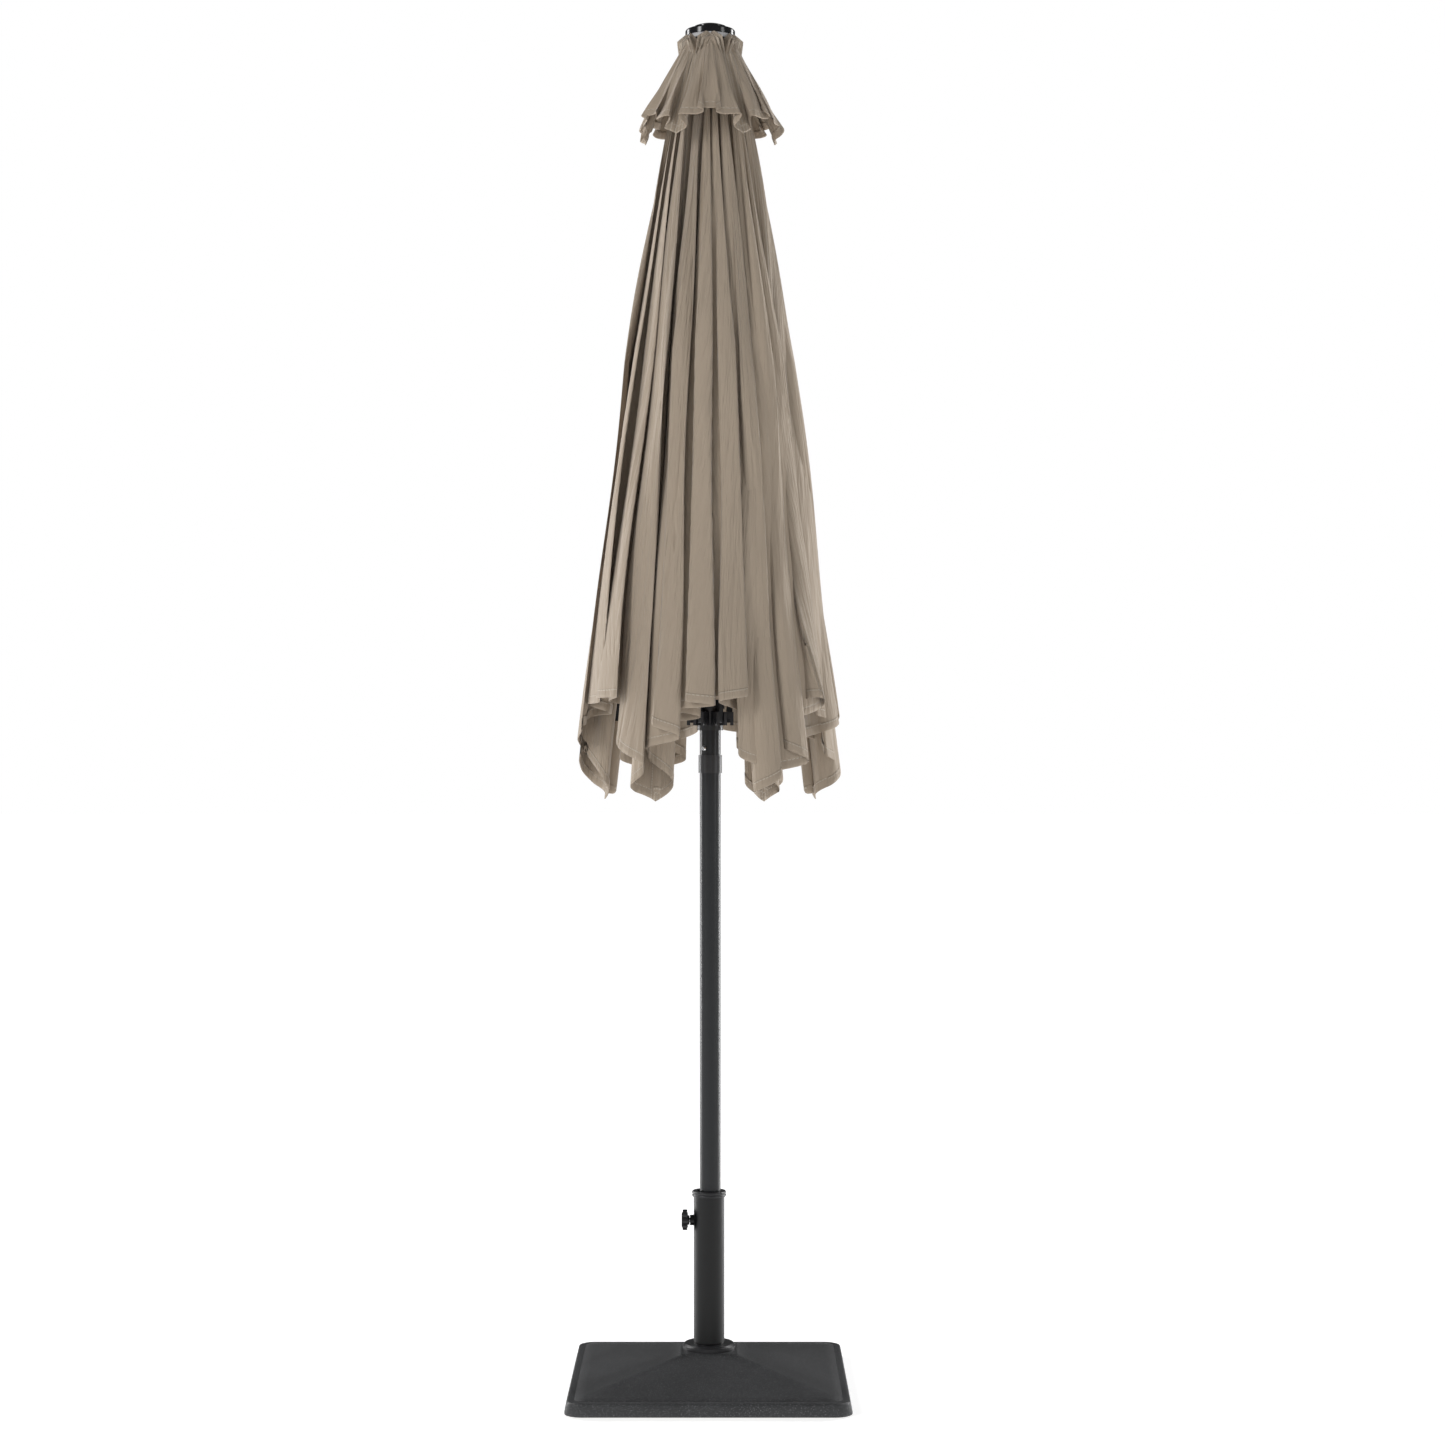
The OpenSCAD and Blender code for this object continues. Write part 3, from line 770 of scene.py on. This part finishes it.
def soft_box(name, place, aim, size, power):
    """A large area light that points at a spot."""
    lamp = bpy.data.lights.new(name, "AREA")
    lamp.shape = "RECTANGLE"
    lamp.size, lamp.size_y = size
    lamp.energy = power
    lit = bpy.data.objects.new(name, lamp)
    lit.location = place
    lit.rotation_euler = (Vector(aim) - Vector(place)).to_track_quat("-Z", "Y").to_euler()
    bpy.context.collection.objects.link(lit)
    return lit


class MakeStage(bpy.types.Operator):
    """Makes the floor, the lights and the camera"""
    bl_idname = "umbrella.stage"
    bl_label = "Floor, lights and camera"

    def execute(self, context):
        stage = context.scene.umbrella_stage
        mesh = bpy.data.meshes.new("stage_floor")
        reach = 30.0
        corners = [(-reach, -reach, 0), (reach, -reach, 0), (reach, reach, 0), (-reach, reach, 0)]
        mesh.from_pydata(corners, [], [(0, 1, 2, 3)])
        floor = bpy.data.objects.new("stage_floor", mesh)
        context.collection.objects.link(floor)
        mesh.materials.append(floor_material(stage.floor))
        world = bpy.data.worlds.new("studio")
        context.scene.world = world
        world.use_nodes = True
        self.light_world(world.node_tree)
        soft_box("key_light", (-3.4, -2.8, 3.2), (0, 0, 1.3), (1.0, 2.6), 96)
        soft_box("fill_light", (3.8, -2.2, 2.4), (0, 0, 1.2), (1.0, 2.8), 34)
        soft_box("left_edge", (-2.4, 1.6, 1.4), (0, 0, 1.1), (0.7, 3.2), 66)
        soft_box("right_edge", (2.4, 1.6, 1.4), (0, 0, 1.1), (0.7, 3.2), 72)
        camera = bpy.data.objects.new("camera", bpy.data.cameras.new("camera"))
        context.collection.objects.link(camera)
        camera.location = (0.0219, -stage.distance, stage.height)
        camera.rotation_euler = (math.radians(90.115), 0, 0)
        camera.data.sensor_width = 36.0
        camera.data.lens = 69.6
        camera.data.clip_end = 100.0
        context.scene.camera = camera
        context.scene.view_settings.view_transform = "Standard"
        return {"FINISHED"}

    @staticmethod
    def light_world(tree):
        """A white studio behind the object, which lights it only softly."""
        seen = tree.nodes["Background"]
        seen.inputs["Color"].default_value = (1, 1, 1, 1)
        seen.inputs["Strength"].default_value = 1.0
        lit = tree.nodes.new("ShaderNodeBackground")
        lit.inputs["Color"].default_value = (1, 1, 1, 1)
        lit.inputs["Strength"].default_value = 0.1
        path = tree.nodes.new("ShaderNodeLightPath")
        either = tree.nodes.new("ShaderNodeMixShader")
        tree.links.new(path.outputs["Is Camera Ray"], either.inputs[0])
        tree.links.new(lit.outputs[0], either.inputs[1])
        tree.links.new(seen.outputs[0], either.inputs[2])
        tree.links.new(either.outputs[0], tree.nodes["World Output"].inputs["Surface"])


PIECES = (MakeBaseSkin, MakeCanopy, MakeVentFlap, MakeHardware, MakeStage)


class UmbrellaPanel(bpy.types.Panel):
    """Lists the umbrella's sizes, colours and pieces"""
    bl_idname = "VIEW3D_PT_umbrella"
    bl_label = "Patio umbrella"
    bl_space_type = "VIEW_3D"
    bl_region_type = "UI"
    bl_category = "Umbrella"

    def draw(self, context):
        scene = context.scene
        for settings in (scene.umbrella_cloth, scene.umbrella_finish, scene.umbrella_stage):
            box = self.layout.box()
            for name in settings.bl_rna.properties.keys():
                if name not in ("rna_type", "name"):
                    box.prop(settings, name)
        for piece in PIECES:
            self.layout.operator(piece.bl_idname)


GROUPS = {"umbrella_cloth": UmbrellaCloth, "umbrella_finish": UmbrellaFinish, "umbrella_stage": UmbrellaStage}


def register():
    for name, group in GROUPS.items():
        bpy.utils.register_class(group)
        setattr(bpy.types.Scene, name, PointerProperty(type=group))
    for item in (*PIECES, UmbrellaPanel):
        bpy.utils.register_class(item)


def unregister():
    for item in reversed((*PIECES, UmbrellaPanel)):
        bpy.utils.unregister_class(item)
    for name, group in GROUPS.items():
        delattr(bpy.types.Scene, name)
        bpy.utils.unregister_class(group)


def main():
    register()
    for piece in PIECES:
        group, name = piece.bl_idname.split(".")
        getattr(getattr(bpy.ops, group), name)()


if __name__ == "__main__":
    main()
